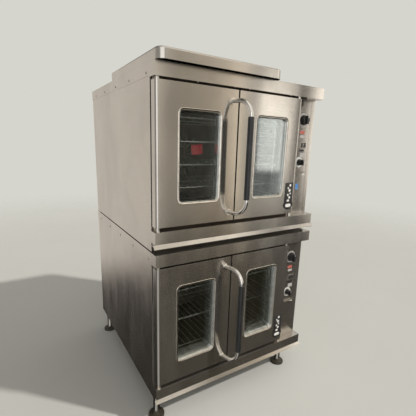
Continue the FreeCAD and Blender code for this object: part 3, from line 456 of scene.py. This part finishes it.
def add_screw_head(bm, place, axis, radius, height):
    """Pan head with a cross recess, standing on a place along an axis."""
    turn = axis.to_track_quat("Z", "Y").to_matrix().to_4x4()
    spokes, rings = 24, 7
    cross_width, cross_reach, cross_depth = 0.16, 0.66, 0.45       # shares of the radius, the radius and the height
    rows = []
    for ring in range(1, rings + 1):
        share = ring / rings
        row = []
        for spoke in range(spokes):
            angle = 2 * math.pi * spoke / spokes
            across, along = share * math.cos(angle), share * math.sin(angle)
            in_cross = min(abs(across), abs(along)) < cross_width and share < cross_reach
            dome = math.sqrt(1.0 - 0.92 * share * share)
            level = height * (dome - (cross_depth if in_cross else 0.0))
            row.append(bm.verts.new(place + turn @ Vector((across * radius, along * radius, level))))
        rows.append(row)
    foot = [bm.verts.new(place + turn @ Vector((radius * math.cos(2 * math.pi * spoke / spokes),
                                                radius * math.sin(2 * math.pi * spoke / spokes), 0.0)))
            for spoke in range(spokes)]
    rows.append(foot)
    middle = bm.verts.new(place + turn @ Vector((0.0, 0.0, 0.5 * height)))
    for spoke in range(spokes):
        beside = (spoke + 1) % spokes
        bm.faces.new((middle, rows[0][spoke], rows[0][beside]))
        for inner, outer in zip(rows, rows[1:]):
            bm.faces.new((inner[spoke], outer[spoke], outer[beside], inner[beside]))
    bm.faces.new(foot[::-1])


# ---------------------------------------------------------------- pieces
SHEET_NODES = ("side_panels_left", "side_panels_right", "control_panels", "back_panels", "stacking_frame",
               "access_panels", "base_pans")
FOLDED_NODES = ("deck_caps", "front_ledges")


def soft_sheet_metal():
    """Rounded folds and edges on the casing and the doors."""
    for node in SHEET_NODES:
        softened(node, 0.4 * MM)
    for node in FOLDED_NODES:
        softened(node, 1.2 * MM, outer_edges, 20 * MM)
    for deck in DECKS:
        for side in ("left", "right"):
            softened(f"{deck}_door_{side}_shell", 1.2 * MM, outer_edges, 20 * MM)
        for control in ("thermostat_knob", "timer_knob"):
            softened(f"{deck}_{control}", 1.0 * MM, least=2 * MM)
        for control in ("power_switch", "light_switch"):
            softened(f"{deck}_{control}", 0.7 * MM, least=2 * MM)


# Section of a window trim: millimetres outward from the trim's outline, and behind the door's face.
TRIM_BEAD = ((9.0, 0.0), (8.9, -1.1), (8.3, -1.75), (7.3, -2.0), (6.0, -1.8), (4.0, -1.1), (1.6, 0.1),
             (-0.6, 1.6), (-1.9, 3.2), (-2.5, 5.2), (-2.5, 14.0), (-0.5, 14.0), (-0.5, 6.0), (3.0, 0.0))
TRIM_REACH = 9.0 * MM          # how far the bead stands outside its outline
TRIM_CORNER = 18 * MM


def window_trims():
    """Rolled bright bead round each window with a sleeve back to the glass."""
    for deck in DECKS:
        for side in ("left", "right"):
            node = f"{deck}_door_{side}_trim"
            low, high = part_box(node)
            door_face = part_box(f"{deck}_door_{side}_shell")[0].y
            centre = Vector(((low.x + high.x) / 2, door_face, (low.z + high.z) / 2))
            outline = rounded_outline(centre, (high.x - low.x) / 2 - TRIM_REACH, (high.z - low.z) / 2 - TRIM_REACH,
                                      TRIM_CORNER, 40 * MM)
            bm = bmesh.new()
            carry_round(bm, outline, lambda index: [(out * MM, depth * MM) for out, depth in TRIM_BEAD])
            bead = add_piece(f"{deck}_{side}_window_bead", bm, f"{deck}_{side}_door",
                             MATERIALS["trim_chrome"], crease=40.0)
            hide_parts(node)


ROPE_WIDTH, ROPE_DEPTH = 5.9 * MM, 2.7 * MM     # half sizes of the flattened rope's section
ROPE_SIDES = 14
ROPE_CORNER = 30 * MM
ROPE_MARGIN = 8.5 * MM         # from the liner's outside to the middle of the rope


def rope_section(index):
    """Section of the rope, whose grooves turn a little at each point along it."""
    points = []
    for step in range(ROPE_SIDES):
        angle = 2 * math.pi * step / ROPE_SIDES
        strand = 1.0 - 0.16 * abs(math.sin(1.5 * angle + 0.55 * index))
        points.append((strand * ROPE_WIDTH * math.cos(angle), strand * ROPE_DEPTH * math.sin(angle)))
    return points


def rope_gaskets():
    """Twisted rope seal round each oven mouth."""
    low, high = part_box("door_gaskets")
    bm = bmesh.new()
    for deck in DECKS:
        liner_low, liner_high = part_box(f"{deck}_cavity_liner")
        centre = Vector(((liner_low.x + liner_high.x) / 2, (low.y + high.y) / 2, (liner_low.z + liner_high.z) / 2))
        outline = rounded_outline(centre, (liner_high.x - liner_low.x) / 2 + ROPE_MARGIN,
                                  (liner_high.z - liner_low.z) / 2 + ROPE_MARGIN, ROPE_CORNER, 5 * MM)
        carry_round(bm, outline, rope_section)
    seal = add_piece("door_rope_seals", bm, "cabinet", MATERIALS["gasket_black"], crease=80.0)
    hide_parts("door_gaskets")


# Corners of a nameplate: millimetres across the front and above the underside of its deck.
PLATE_OUTLINE = ((257, 262), (314, 262), (314, 158), (322, 140), (306, 122), (285, 114), (264, 122), (249, 140),
                 (257, 158))
PLATE_MIDDLE = 285.5
# Round and oval marks on a plate: height, half width, half height and shift from the plate's middle.
PLATE_MARKS = ((247, 7, 7, 6), (233, 5, 5, -8), (220, 8, 8, 3), (203, 5, 5, 9), (196, 6, 6, -7), (182, 7, 7, 5),
               (165, 9, 6, -3), (138, 20, 9, 0))


def nameplates():
    """Generic black plates, pointed and wider at the bottom, with plain bright marks."""
    for deck in DECKS:
        body = f"{deck}_right_door"
        bm = bmesh.new()
        add_slab(bm, [deck_point(deck, x, 3.0, z) for x, z in PLATE_OUTLINE], 1.6 * MM, 0.6 * MM)
        add_piece(f"{deck}_nameplate", bm, body, PRINTS["black"])
        marks = bmesh.new()
        for rise, half_width, half_height, shift in PLATE_MARKS:
            centre = deck_point(deck, PLATE_MIDDLE + shift, 1.5, rise)
            radius = min(half_width, half_height) * MM
            add_slab(marks, oblong(centre, half_width * MM, half_height * MM, radius), 0.6 * MM)
        add_piece(f"{deck}_nameplate_marks", marks, body, PRINTS["white"])


# Each knob's ring: inner and outer radius in millimetres, and the ring's print.
DIALS = {"thermostat_knob": (27.0, 36.0, "grey"), "timer_knob": (18.0, 29.0, "white")}
DIAL_THICKNESS = 0.3 * MM
DIAL_TICKS = 25
TICKS_A_LONG_ONE = 4           # every fourth tick is longer and wider
# Blank strips on a control panel: print, place across, height above the deck's underside, half width, half height.
LABELS = (("red", 399, 527, 18, 8), ("grey", 402, 505, 17, 7), ("black", 404, 430, 20, 5.5),
          ("grey", 413, 405, 17, 11), ("white", 436, 298, 11, 4))
LABEL_THICKNESS = 0.25 * MM


def tick_ring(centre, inner, outer):
    """Slim radial ticks over three quarters of a turn, standing on a dial's face."""
    ticks = bmesh.new()
    base = centre + Vector((0.0, -DIAL_THICKNESS, 0.0))
    for step in range(DIAL_TICKS):
        long_one = step % TICKS_A_LONG_ONE == 0
        angle = math.radians(225.0 - 270.0 * step / (DIAL_TICKS - 1))
        out = Vector((math.cos(angle), 0.0, math.sin(angle)))
        side = Vector((-out.z, 0.0, out.x)) * (0.7 if long_one else 0.35) * MM
        start = inner + (outer - inner) * (0.25 if long_one else 0.5)
        near, far = base + out * start, base + out * (outer - 1.0 * MM)
        add_slab(ticks, [near - side, far - side, far + side, near + side], 0.15 * MM)
    return ticks


def dials_and_labels():
    """Tick rings round the knobs, blank label strips, and pointer lines on the knobs."""
    for deck in DECKS:
        for control, (inner, outer, ring_tone) in DIALS.items():
            inner, outer = inner * MM, outer * MM
            low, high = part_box(f"{deck}_{control}")
            centre = Vector(((low.x + high.x) / 2, deck_point(deck, 0, PANEL_DEPTH, 0).y, (low.z + high.z) / 2))
            bm = bmesh.new()
            outline = rounded_outline(centre, outer, outer, outer, 4 * MM)
            section = [(0.0, 0.0), (0.0, -DIAL_THICKNESS), (inner - outer, -DIAL_THICKNESS), (inner - outer, 0.0)]
            carry_round(bm, outline, lambda index: section)
            add_piece(f"{deck}_{control}_dial", bm, "cabinet", PRINTS[ring_tone])
            add_piece(f"{deck}_{control}_ticks", tick_ring(centre, inner, outer), "cabinet",
                      PRINTS["black"])
            pointer = bmesh.new()
            reach = (high.z - low.z) / 2
            tip = Vector((centre.x, low.y, centre.z + 0.58 * reach))
            add_slab(pointer, oblong(tip, 0.9 * MM, 0.2 * reach, 0.8 * MM, 3), -0.2 * MM)
            bmesh.ops.translate(pointer, verts=pointer.verts, vec=(0.0, -0.1 * MM, 0.0))
            add_piece(f"{deck}_{control}_pointer", pointer, f"{deck}_{control}", PRINTS["white"])
        for count, (tone, x, z, half_width, half_height) in enumerate(LABELS):
            label = bmesh.new()
            centre = deck_point(deck, x, PANEL_DEPTH, z)
            add_slab(label, oblong(centre, half_width * MM, half_height * MM, 1.5 * MM, 3), LABEL_THICKNESS)
            add_piece(f"{deck}_label_{count + 1}", label, "cabinet", PRINTS[tone])
    sticker = bmesh.new()
    add_slab(sticker, oblong(deck_point("upper", 393, PANEL_DEPTH, 230), 10 * MM, 15 * MM, 2 * MM), LABEL_THICKNESS)
    add_piece("upper_blank_sticker", sticker, "cabinet", PRINTS["blue"])


def red_tag():
    """Blank red card with a slight curl, hung at the front of the second rack from the top."""
    bm = bmesh.new()
    width, height = 58 * MM, 44 * MM
    columns, rows = 10, 8
    top = deck_point("upper", -236, 98, 446)
    grid = []
    for row in range(rows + 1):
        line = []
        for column in range(columns + 1):
            across = (column / columns - 0.5) * width
            down = row / rows * height
            curl = 5 * MM * math.sin(math.pi * column / columns) + 4 * MM * (row / rows) ** 2
            line.append(bm.verts.new(top + Vector((across + 0.06 * down, -curl, 0.12 * across - down))))
        grid.append(line)
    for row in range(rows):
        for column in range(columns):
            bm.faces.new((grid[row][column], grid[row][column + 1], grid[row + 1][column + 1], grid[row + 1][column]))
    tag = add_piece("upper_blank_tag", bm, "upper_rack_3", PRINTS["tag"])
    thickness = tag.modifiers.new("thickness", "SOLIDIFY")
    thickness.thickness = 0.5 * MM


SKIRT_SCREW_DEPTHS = (84, 299, 514, 729, 944)
SKIRT_SCREW_HEIGHT = 717.5
FASCIA_SCREWS = (-287, -96, -13, 250)
# Back panel screws: millimetres across and above the underside of the deck.
BACK_SCREWS = ([(x, height) for x in (-460, -230, 0, 230, 460) for height in (22, 680)]
               + [(x, height) for height in (210, 440) for x in (-460, 460)])


def screws():
    """Cross-recessed heads along the cap skirts, under the fascias and round the back panels."""
    low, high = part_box("casing_screws")
    cap_low, cap_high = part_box("deck_caps")
    skirts = bmesh.new()
    left, right, down, backward = (Vector(way) for way in ((-1, 0, 0), (1, 0, 0), (0, 0, -1), (0, 1, 0)))
    for deck in DECKS:
        for depth in SKIRT_SCREW_DEPTHS:
            spot = deck_point(deck, 0, depth, SKIRT_SCREW_HEIGHT)
            add_screw_head(skirts, Vector((cap_low.x, spot.y, spot.z)), left, 5.2 * MM, cap_low.x - low.x)
            add_screw_head(skirts, Vector((cap_high.x, spot.y, spot.z)), right, 5.2 * MM, high.x - cap_high.x)
    heads = add_piece("cap_screw_heads", skirts, "cabinet", MATERIALS["screw_steel"])
    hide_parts("casing_screws")
    small = bmesh.new()
    for deck in DECKS:
        for x in FASCIA_SCREWS:
            add_screw_head(small, deck_point(deck, x, 9, 698), down, 4.0 * MM, 3.0 * MM)
    add_piece("fascia_screw_heads", small, "cabinet", MATERIALS["screw_steel"])
    rear = bmesh.new()
    for deck in DECKS:
        for x, height in BACK_SCREWS:
            add_screw_head(rear, deck_point(deck, x, BACK_DEPTH, height), backward, 4.5 * MM, 2.4 * MM)
    add_piece("back_screw_heads", rear, "cabinet", MATERIALS["screw_steel"])


BRACKET_WEB = ((350, 697), (350, 676), (364, 660), (380, 660), (380, 697))
BRACKET_SHELF = ((344, 697), (344, 688), (380, 688), (380, 697))
BRACKET_THICKNESS = 9          # millimetres of the web, which the shelf stands in front of


def door_brackets():
    """Black angle bracket at the top right of each pair of doors, beside the right hinge."""
    for deck in DECKS:
        bm = bmesh.new()
        add_slab(bm, [deck_point(deck, x, PANEL_DEPTH, z) for x, z in BRACKET_WEB], BRACKET_THICKNESS * MM, 1.5 * MM)
        add_slab(bm, [deck_point(deck, x, PANEL_DEPTH - BRACKET_THICKNESS, z) for x, z in BRACKET_SHELF],
                 22 * MM, 1.2 * MM)
        add_piece(f"{deck}_hinge_bracket", bm, "cabinet", MATERIALS["frame_paint"])


def cable_grommets():
    """Rubber ring in each cable entry at the back."""
    for deck in DECKS:
        centre = deck_point(deck, 380, BACK_DEPTH, 60)
        radius = 14.3 * MM      # the hole's own
        bm = bmesh.new()
        outline = rounded_outline(centre, radius, radius, radius, 3 * MM)
        bead = [(3.4 * math.cos(math.radians(turn)) + 0.2, 1.6 * math.sin(math.radians(turn)) + 0.9)
                for turn in range(0, 360, 36)]
        carry_round(bm, outline, lambda index: [(out * MM, depth * MM) for out, depth in bead])
        add_piece(f"{deck}_cable_grommet", bm, "cabinet", MATERIALS["gasket_black"])


# Height above the floor and corner radius of each level of a foot's nut, in millimetres.
NUT_LEVELS = ((12.2, 14.2), (13.2, 16.2), (22.8, 16.2), (23.8, 14.2))


def foot_nuts():
    """Chamfered hexagon lock nut on each levelling foot, round the plain collar of the CAD foot."""
    for foot in ("foot_front_left", "foot_front_right", "foot_rear_left", "foot_rear_right"):
        low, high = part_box(foot)
        centre = (low + high) / 2
        bm = bmesh.new()
        rows = []
        for height, radius in NUT_LEVELS:
            rows.append([bm.verts.new((centre.x + radius * MM * math.cos(math.radians(60 * step + 15)),
                                       centre.y + radius * MM * math.sin(math.radians(60 * step + 15)),
                                       height * MM)) for step in range(6)])
        for lower, upper in zip(rows, rows[1:]):
            for step in range(6):
                bm.faces.new((lower[step], lower[(step + 1) % 6], upper[(step + 1) % 6], upper[step]))
        bm.faces.new(rows[0][::-1])
        bm.faces.new(rows[-1])
        add_piece(f"{foot}_nut", bm, foot, MATERIALS["leg_chrome"], crease=25.0)


# ---------------------------------------------------------------- stage
FLOOR_RADIUS = 14.0
FLOOR_FADE = (3.0, 7.5)        # metres from the oven where the floor starts and ends its fade


def pale_floor():
    """Wide pale floor that fades into the backdrop far from the oven."""
    mesh = bpy.data.meshes.new("floor")
    bm = bmesh.new()
    bmesh.ops.create_circle(bm, cap_ends=True, segments=96, radius=FLOOR_RADIUS)
    bm.to_mesh(mesh)
    bm.free()
    floor = bpy.data.objects.new("floor", mesh)
    bpy.context.scene.collection.objects.link(floor)
    floor.visible_glossy = False
    paint = Finish("floor_look", Roughness=0.85)
    mottle = paint.noise((1.3, 1.3, 1.3), detail=4.0)
    paint.feed(Base_Color=paint.blend(mottle, (0.5, 0.505, 0.485), (0.465, 0.47, 0.45)))
    length = paint.add("ShaderNodeVectorMath", operation="LENGTH")
    paint.link(paint.place, length.inputs[0])
    fade = paint.span(length.outputs["Value"], *FLOOR_FADE)
    nothing = paint.add("ShaderNodeBsdfTransparent")
    mixer = paint.add("ShaderNodeMixShader")
    paint.link(fade, mixer.inputs["Fac"])
    paint.link(paint.shader.outputs["BSDF"], mixer.inputs[1])
    paint.link(nothing.outputs["BSDF"], mixer.inputs[2])
    paint.link(mixer.outputs["Shader"], paint.tree.nodes["Material Output"].inputs["Surface"])
    mesh.materials.append(paint.material)


BACKDROP = (0.665, 0.665, 0.611)
# Cards of light round the oven at eye height: degrees from straight in front, positive to its right.
RING = (
    (-180.0, (0.76, 0.7, 0.63)),
    (-150.0, (0.77, 0.72, 0.66)),
    (-110.0, (0.45, 0.43, 0.4)),
    (-62.0, (0.33, 0.33, 0.33)),
    (-54.0, (1.6, 1.61, 1.63)),
    (-14.0, (1.6, 1.6, 1.6)),
    (-5.0, (0.45, 0.44, 0.42)),
    (13.0, (0.3, 0.28, 0.25)),
    (15.5, (0.95, 0.9, 0.8)),
    (21.5, (1.2, 1.13, 1.0)),
    (23.0, (0.4, 0.37, 0.32)),
    (28.0, (0.41, 0.37, 0.3)),
    (33.0, (0.52, 0.45, 0.36)),
    (35.0, (0.6, 0.51, 0.4)),
    (35.8, (1.2, 1.06, 0.84)),
    (37.4, (1.2, 1.06, 0.84)),
    (38.0, (0.6, 0.56, 0.49)),
    (39.6, (0.62, 0.59, 0.54)),
    (40.4, (0.44, 0.43, 0.4)),
    (45.4, (0.44, 0.43, 0.4)),
    (45.9, (0.08, 0.075, 0.07)),
    (48.2, (0.08, 0.075, 0.07)),
    (48.8, (2.0, 1.9, 1.76)),
    (54.0, (1.8, 1.7, 1.57)),
    (70.0, (0.9, 0.86, 0.78)),
    (120.0, (0.6, 0.57, 0.52)),
    (180.0, (0.78, 0.72, 0.64)),
)
# What lies under the cards, with its own stops round the oven.
GROUND = (
    (-180.0, (0.016, 0.014, 0.012)),
    (-85.0, (0.02, 0.018, 0.016)),
    (-60.0, (0.5, 0.5, 0.48)),
    (0.0, (0.4, 0.4, 0.38)),
    (14.0, (0.03, 0.026, 0.016)),
    (30.0, (0.03, 0.025, 0.014)),
    (40.0, (0.035, 0.029, 0.018)),
    (45.0, (0.035, 0.029, 0.018)),
    (47.5, (0.015, 0.013, 0.008)),
    (60.0, (0.03, 0.026, 0.02)),
    (180.0, (0.016, 0.014, 0.012)),
)
# What lies over the cards.
CEILING = (
    (-180.0, (0.24, 0.23, 0.21)),
    (-100.0, (0.24, 0.23, 0.21)),
    (-50.0, (1.1, 1.07, 1.0)),
    (10.0, (1.1, 1.07, 1.0)),
    (20.0, (0.9, 0.84, 0.74)),
    (31.0, (1.0, 0.93, 0.82)),
    (36.0, (1.5, 1.4, 1.25)),
    (42.0, (1.5, 1.4, 1.25)),
    (46.0, (0.5, 0.47, 0.42)),
    (50.0, (0.45, 0.42, 0.38)),
    (54.0, (1.0, 0.95, 0.87)),
    (90.0, (1.1, 1.07, 1.0)),
    (180.0, (0.24, 0.23, 0.21)),
)
# Degrees under eye level where the cards end.
HORIZON = ((-180.0, 22.0), (-95.0, 22.0), (-60.0, 16.0), (14.0, 16.0), (30.0, 14.0), (38.0, 13.0), (45.0, 12.3),
           (46.5, 9.5), (70.0, 10.0), (110.0, 22.0), (180.0, 22.0))
# A bright doorway across the room: its sides in degrees, its foot and head as sines, and its light.
DOORWAY_SIDES = (40.2, 45.8)
DOORWAY_HEIGHTS = (-0.075, 0.19)
DOORWAY_LIGHT = (1.8, 1.72, 1.58)
# A dark beam beside the doorway's head.
LINTEL_SIDES = (46.2, 49.2)
LINTEL_HEIGHTS = (0.125, 0.3)
LINTEL_LIGHT = (0.05, 0.047, 0.044)
CARD_SOFTNESS = 0.05           # half the blur of the cards' lower ends, as a sine
CEILING_RISE = (0.24, 0.38)    # sines between which the cards give way to what lies over them
RIPPLE_SCALE = 190.0           # fine upright streaks round the room
RIPPLE_DEPTH = 0.24


class Surroundings(Finish):
    """The world's node tree, with the same helpers as a material's."""

    def __init__(self, name):
        self.world = bpy.data.worlds.new(name)
        self.world.use_nodes = True
        self.tree = self.world.node_tree
        self.shader = self.tree.nodes["Background"]
        self.place = self.add("ShaderNodeTexCoord").outputs["Generated"]


def ramp_round(air, turn, rows):
    """A ramp round the oven: rows of (degrees from the front, colour)."""
    ramp = air.add("ShaderNodeValToRGB")
    stops = ramp.color_ramp.elements
    while len(stops) < len(rows):
        stops.new(0.5)
    for stop, (degrees, tone) in zip(stops, rows):
        stop.position = degrees / 360.0 + 0.5
        stop.color = (*tone, 1.0)
    air.link(turn, ramp.inputs["Fac"])
    return ramp.outputs["Color"]


def between(air, value, low, high, soft):
    """One inside a range and nothing outside it, with soft ends."""
    rising = air.span(value, low - soft, low + soft)
    falling = air.span(value, high - soft, high + soft, 1.0, 0.0)
    return air.math("MULTIPLY", rising, falling)


def patch(air, around, height, sides, heights):
    """One inside an upright oblong of the room: its sides in degrees, its foot and head as sines."""
    left, right = (degrees / 360.0 + 0.5 for degrees in sides)
    return air.math("MULTIPLY", between(air, around, left, right, 0.0012), between(air, height, *heights, 0.012))


def studio_world():
    """Plain backdrop for the eye; for the steel, soft cards at eye height over a dark ground."""
    air = Surroundings("studio")
    axes = air.add("ShaderNodeSeparateXYZ")
    air.link(air.place, axes.inputs["Vector"])
    height = axes.outputs["Z"]
    forward = air.math("MULTIPLY", axes.outputs["Y"], -1.0)
    turn = air.math("ARCTAN2", axes.outputs["X"], forward)
    around = air.math("ADD", air.math("DIVIDE", turn, 2 * math.pi), 0.5)
    sines = [(degrees, (math.sin(math.radians(drop)),) * 3) for degrees, drop in HORIZON]
    above = air.math("ADD", height, ramp_round(air, around, sines))
    light = air.blend(air.span(above, -CARD_SOFTNESS, CARD_SOFTNESS), ramp_round(air, around, GROUND),
                      ramp_round(air, around, RING))
    light = air.blend(air.span(height, *CEILING_RISE), light, ramp_round(air, around, CEILING))
    ripple = air.add("ShaderNodeTexNoise", noise_dimensions="1D")
    ripple.inputs["Scale"].default_value = RIPPLE_SCALE
    air.link(around, ripple.inputs["W"])
    light = air.blend(air.span(ripple.outputs["Fac"], 0.25, 0.75, 0.0, RIPPLE_DEPTH), light, (0.0, 0.0, 0.0))
    light = air.blend(patch(air, around, height, DOORWAY_SIDES, DOORWAY_HEIGHTS), light, DOORWAY_LIGHT)
    light = air.blend(patch(air, around, height, LINTEL_SIDES, LINTEL_HEIGHTS), light, LINTEL_LIGHT)
    paths = air.add("ShaderNodeLightPath")
    air.link(air.blend(paths.outputs["Is Camera Ray"], light, BACKDROP), air.shader.inputs["Color"])
    bpy.context.scene.world = air.world


KEY_DIRECTION = (0.72, -0.72, 1.0)      # toward the light


def key_light():
    """A key light from the right and front, half way up, like daylight through a large window."""
    lamp = bpy.data.lights.new("key", "SUN")
    lamp.energy = 2.5
    lamp.angle = math.radians(2.5)
    lamp.color = (1.0, 0.96, 0.9)
    sun = bpy.data.objects.new("key", lamp)
    sun.rotation_mode = "QUATERNION"
    sun.rotation_quaternion = Vector(KEY_DIRECTION).to_track_quat("Z", "Y")
    sun.visible_glossy = False      # the cards alone make the streaks in the steel
    bpy.context.scene.collection.objects.link(sun)


CAMERA_PLACE = (-0.9759, -1.2072, 1.3599)       # metres: across, from the fascia, above the floor
CAMERA_TURN = (0.5613, 0.2267, -0.0313)         # radians: to the right of +Y, downward, roll


def camera():
    """A viewer standing at the oven's front left, looking slightly down."""
    yaw, pitch, roll = CAMERA_TURN
    right = Vector((math.cos(yaw), -math.sin(yaw), 0.0))
    forward = Vector((math.sin(yaw) * math.cos(pitch), math.cos(yaw) * math.cos(pitch), -math.sin(pitch)))
    down = forward.cross(right)
    level = math.cos(roll) * right + math.sin(roll) * down
    up = math.sin(roll) * right - math.cos(roll) * down
    data = bpy.data.cameras.new("camera")
    data.sensor_width = 36.0
    data.lens = 27.42
    data.shift_x = -0.003
    data.shift_y = 0.0219
    eye = bpy.data.objects.new("camera", data)
    across, back, rise = CAMERA_PLACE
    place = Vector((across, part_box("deck_caps")[0].y + back, rise))
    eye.matrix_world = Matrix.Translation(place) @ Matrix((level, up, -forward)).transposed().to_4x4()
    bpy.context.scene.collection.objects.link(eye)
    bpy.context.scene.camera = eye


dress_nodes()
soft_sheet_metal()
window_trims()
rope_gaskets()
nameplates()
dials_and_labels()
red_tag()
screws()
door_brackets()
cable_grommets()
foot_nuts()
pale_floor()
studio_world()
key_light()
camera()
bpy.context.scene.view_settings.view_transform = "Standard"
